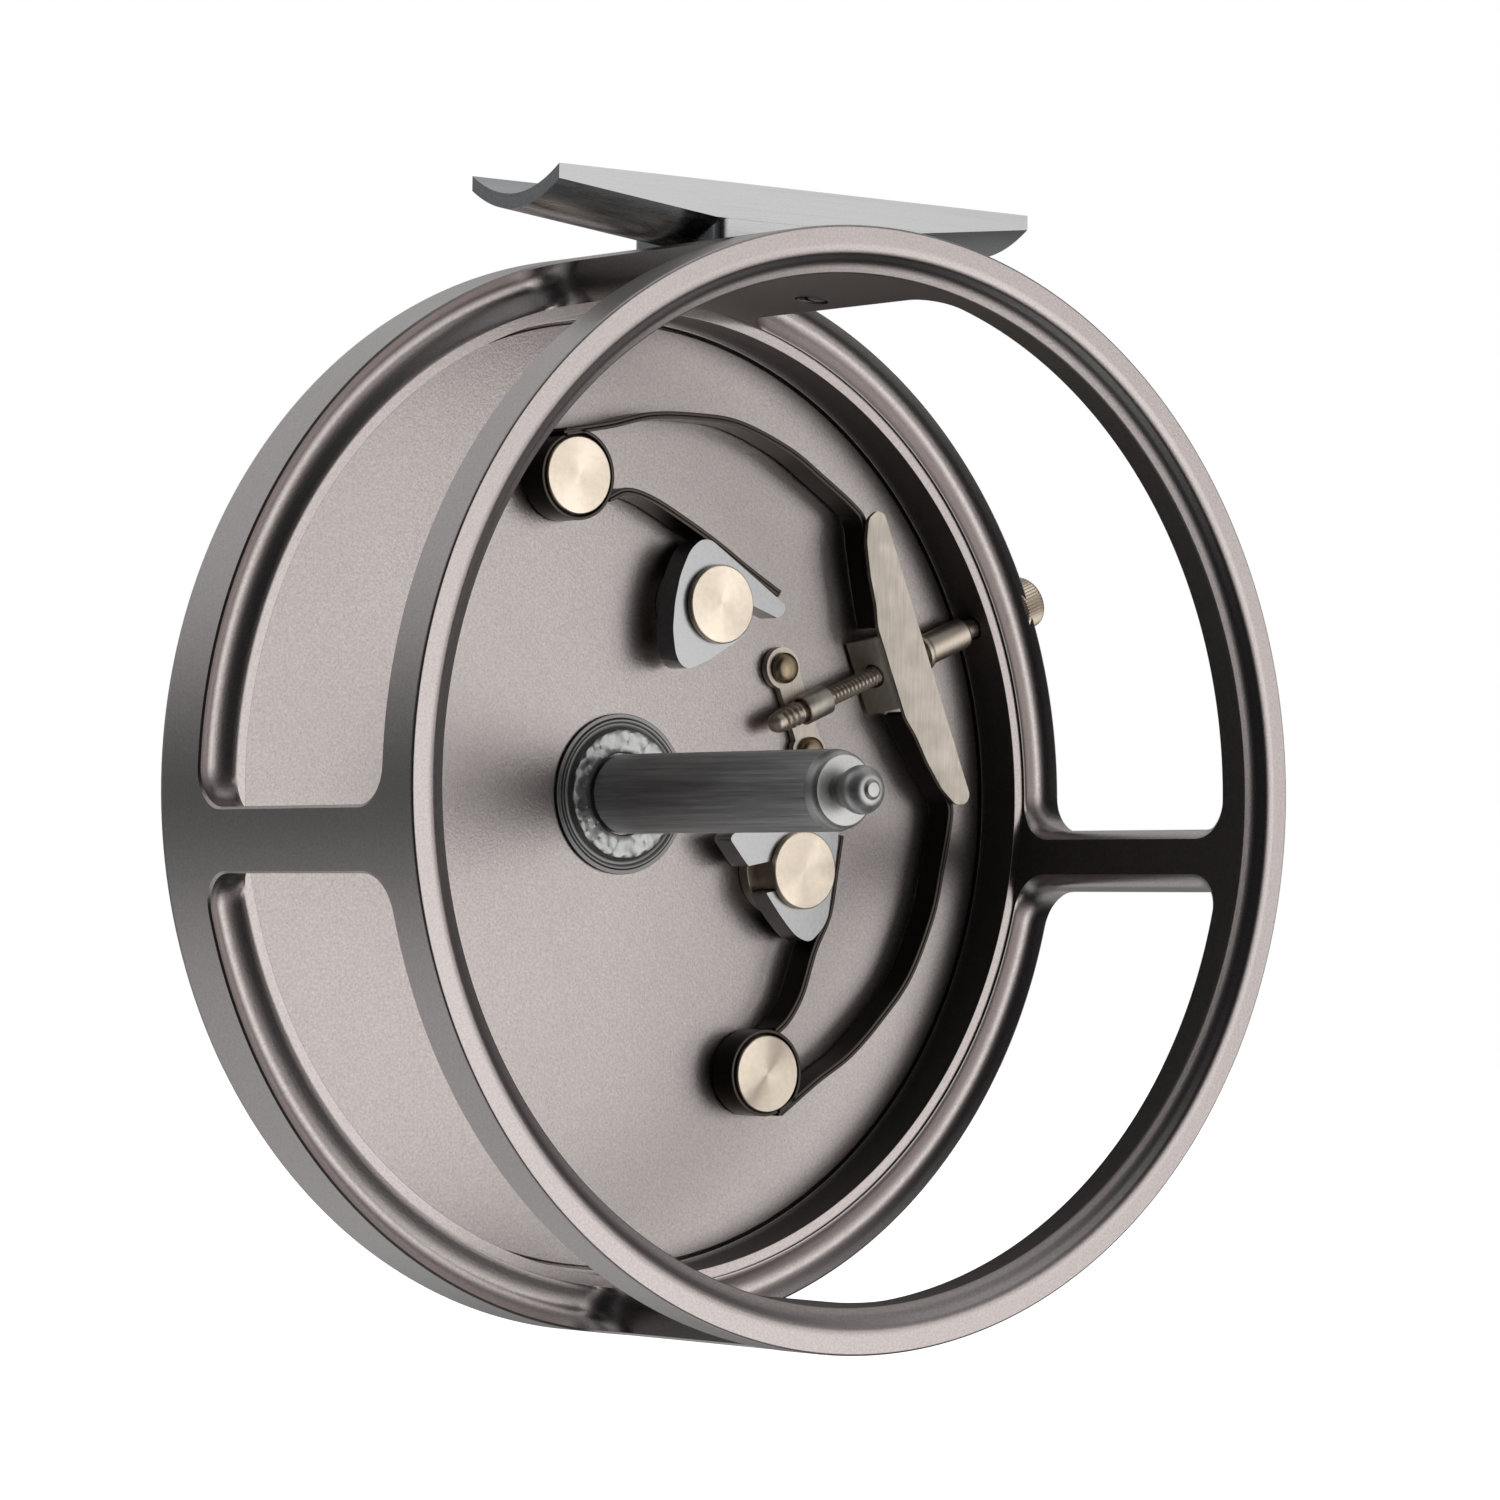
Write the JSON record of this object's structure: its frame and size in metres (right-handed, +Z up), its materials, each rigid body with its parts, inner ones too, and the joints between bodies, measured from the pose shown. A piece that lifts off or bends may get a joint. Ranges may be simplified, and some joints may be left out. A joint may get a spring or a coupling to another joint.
{
  "type": "fly reel",
  "caption": "Fly reel without its spool: open turned cage on a trough foot, plain spindle, and a sprung two-pawl check with a screw regulator.",
  "frame": {"origin": "centre of the reel foot's trough, the flat strip along its bottom that the rod rests on", "axes": "+Z up out of the foot towards the rod, +X along the foot, +Y along the spindle from the open front to the back plate"},
  "size_m": [0.1048, 0.0428, 0.1093],
  "materials": {
    "cage": "satin",
    "foot": "brushed",
    "dark_steel": "satin",
    "pawl_steel": "satin",
    "spring_steel": "satin",
    "brass": "turned",
    "aged_brass": "satin",
    "nickel_silver": "satin"
  },
  "bodies": {
    "cage": {"frame": "cage", "back_plate": "cage", "reel_foot": "foot", "foot_screw_left": "dark_steel", "foot_screw_right": "dark_steel", "spindle": "dark_steel", "spindle_collar": "dark_steel", "spindle_screw": "dark_steel", "upper_spring_post": "brass", "lower_spring_post": "brass", "upper_pawl_post": "brass", "lower_pawl_post": "brass", "upper_spring": "spring_steel", "lower_spring": "spring_steel", "screw_bracket": "nickel_silver", "upper_bracket_rivet": "aged_brass", "lower_bracket_rivet": "aged_brass"},
    "regulator": {"regulator_screw": "nickel_silver", "regulator_washer": "nickel_silver", "regulator_barrel": "nickel_silver", "regulator_knob": "nickel_silver"},
    "saddle": {"regulator_saddle": "nickel_silver"},
    "upper_pawl": {"upper_pawl": "pawl_steel"},
    "lower_pawl": {"lower_pawl": "pawl_steel"}
  },
  "joints": [
    {"name": "regulator_turn", "type": "hinge", "parent": "cage", "child": "regulator", "pos_m": [0, 0.01812, -0.0547], "axis": [0.9222, 0, 0.3867], "range_deg": [0, 2521]},
    {"name": "saddle_slide", "type": "slide", "parent": "cage", "child": "saddle", "axis": [-0.9222, 0, -0.3867], "range_m": [0, 0.0035], "deforming": ["upper_spring", "lower_spring"]},
    {"name": "upper_pawl_rock", "type": "hinge", "parent": "cage", "child": "upper_pawl", "pos_m": [0.00858, 0.01727, -0.03587], "axis": [0, -1, 0], "range_deg": [-12, 12], "stiffness_Nm_per_rad": 0.02, "deforming": ["upper_spring"]},
    {"name": "lower_pawl_rock", "type": "hinge", "parent": "cage", "child": "lower_pawl", "pos_m": [0.01945, 0.01727, -0.06178], "axis": [0, -1, 0], "range_deg": [-12, 12], "stiffness_Nm_per_rad": 0.02, "deforming": ["lower_spring"]}
  ],
  "couplings": [
    {"joint": "regulator_turn", "follows": "saddle_slide", "rad_per_m": 12566}
  ]
}
